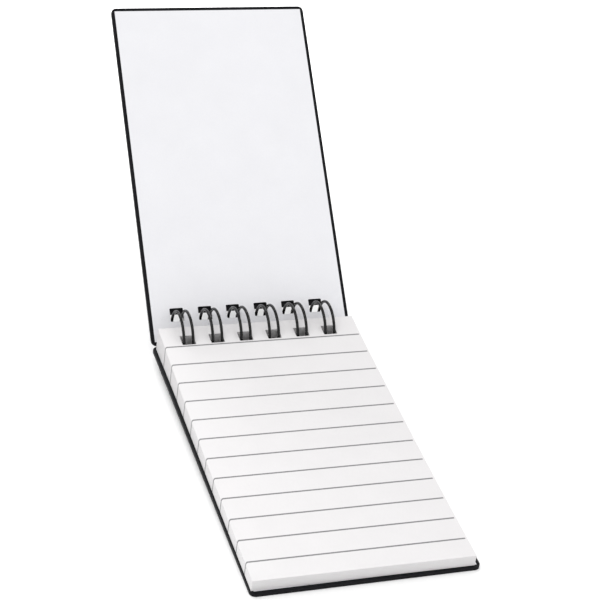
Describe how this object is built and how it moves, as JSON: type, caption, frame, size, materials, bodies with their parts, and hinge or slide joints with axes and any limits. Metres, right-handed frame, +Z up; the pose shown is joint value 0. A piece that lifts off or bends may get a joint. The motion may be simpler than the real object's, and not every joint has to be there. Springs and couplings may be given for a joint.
{
  "type": "top-bound pocket notebook",
  "caption": "Small top-bound notebook with black wrapped covers, white linings, ruled sheets and a black twin-loop wire; its front cover and top sheets turn about the rings.",
  "frame": {"origin": "on the table, in the middle of the open notebook's footprint", "axes": "+X along the binding, +Y from the pad's free edge towards the binding, +Z up"},
  "size_m": [0.0604, 0.18, 0.0757],
  "materials": {
    "cover_wrap": "black leather-grain wrap paper, low sheen",
    "cover_board": "grey-brown binder's board",
    "cover_lining": "cool white uncoated lining paper",
    "sheet_paper": "warm white uncoated writing paper with grey ruled lines",
    "wire_coating": "black nylon-coated steel wire, glossy"
  },
  "bodies": {
    "pad": {"rear_cover_board": "cover_board", "rear_cover_wrap": "cover_wrap", "rear_cover_lining": "cover_lining", "sheet_01": "sheet_paper", "sheet_02": "sheet_paper", "sheet_03": "sheet_paper", "sheet_04": "sheet_paper", "sheet_05": "sheet_paper", "sheet_06": "sheet_paper", "sheet_07": "sheet_paper", "sheet_08": "sheet_paper", "sheet_09": "sheet_paper", "sheet_10": "sheet_paper", "sheet_11": "sheet_paper", "sheet_12": "sheet_paper", "sheet_13": "sheet_paper", "sheet_14": "sheet_paper", "sheet_15": "sheet_paper", "sheet_16": "sheet_paper", "sheet_17": "sheet_paper", "sheet_18": "sheet_paper", "sheet_19": "sheet_paper", "sheet_20": "sheet_paper", "sheet_21": "sheet_paper", "sheet_22": "sheet_paper", "sheet_23": "sheet_paper", "sheet_24": "sheet_paper", "sheet_25": "sheet_paper", "sheet_26": "sheet_paper", "sheet_27": "sheet_paper"},
    "wire": {"binding_wire": "wire_coating"},
    "front_cover": {"front_cover_board": "cover_board", "front_cover_wrap": "cover_wrap", "front_cover_lining": "cover_lining"},
    "top_sheet": {"sheet_30": "sheet_paper"},
    "second_sheet": {"sheet_29": "sheet_paper"},
    "third_sheet": {"sheet_28": "sheet_paper"}
  },
  "joints": [
    {"name": "front_cover_turn", "type": "hinge", "parent": "pad", "child": "front_cover", "pos_m": [0, 0.01292, 0.00752], "axis": [-1, 0, 0], "range_deg": [-139.9, 2]},
    {"name": "top_sheet_turn", "type": "hinge", "parent": "pad", "child": "top_sheet", "pos_m": [0, 0.01292, 0.00752], "axis": [-1, 0, 0], "range_deg": [0, 139.3]},
    {"name": "second_sheet_turn", "type": "hinge", "parent": "pad", "child": "second_sheet", "pos_m": [0, 0.01292, 0.00752], "axis": [-1, 0, 0], "range_deg": [0, 137.3]},
    {"name": "third_sheet_turn", "type": "hinge", "parent": "pad", "child": "third_sheet", "pos_m": [0, 0.01292, 0.00752], "axis": [-1, 0, 0], "range_deg": [0, 135.2]},
    {"name": "wire_turn", "type": "hinge", "parent": "pad", "child": "wire", "pos_m": [0, 0.01292, 0.00752], "axis": [-1, 0, 0], "range_deg": [-8, 8]}
  ],
  "couplings": [
    {"joint": "second_sheet_turn", "follows": "top_sheet_turn", "ratio": 0.985},
    {"joint": "third_sheet_turn", "follows": "top_sheet_turn", "ratio": 0.97}
  ]
}
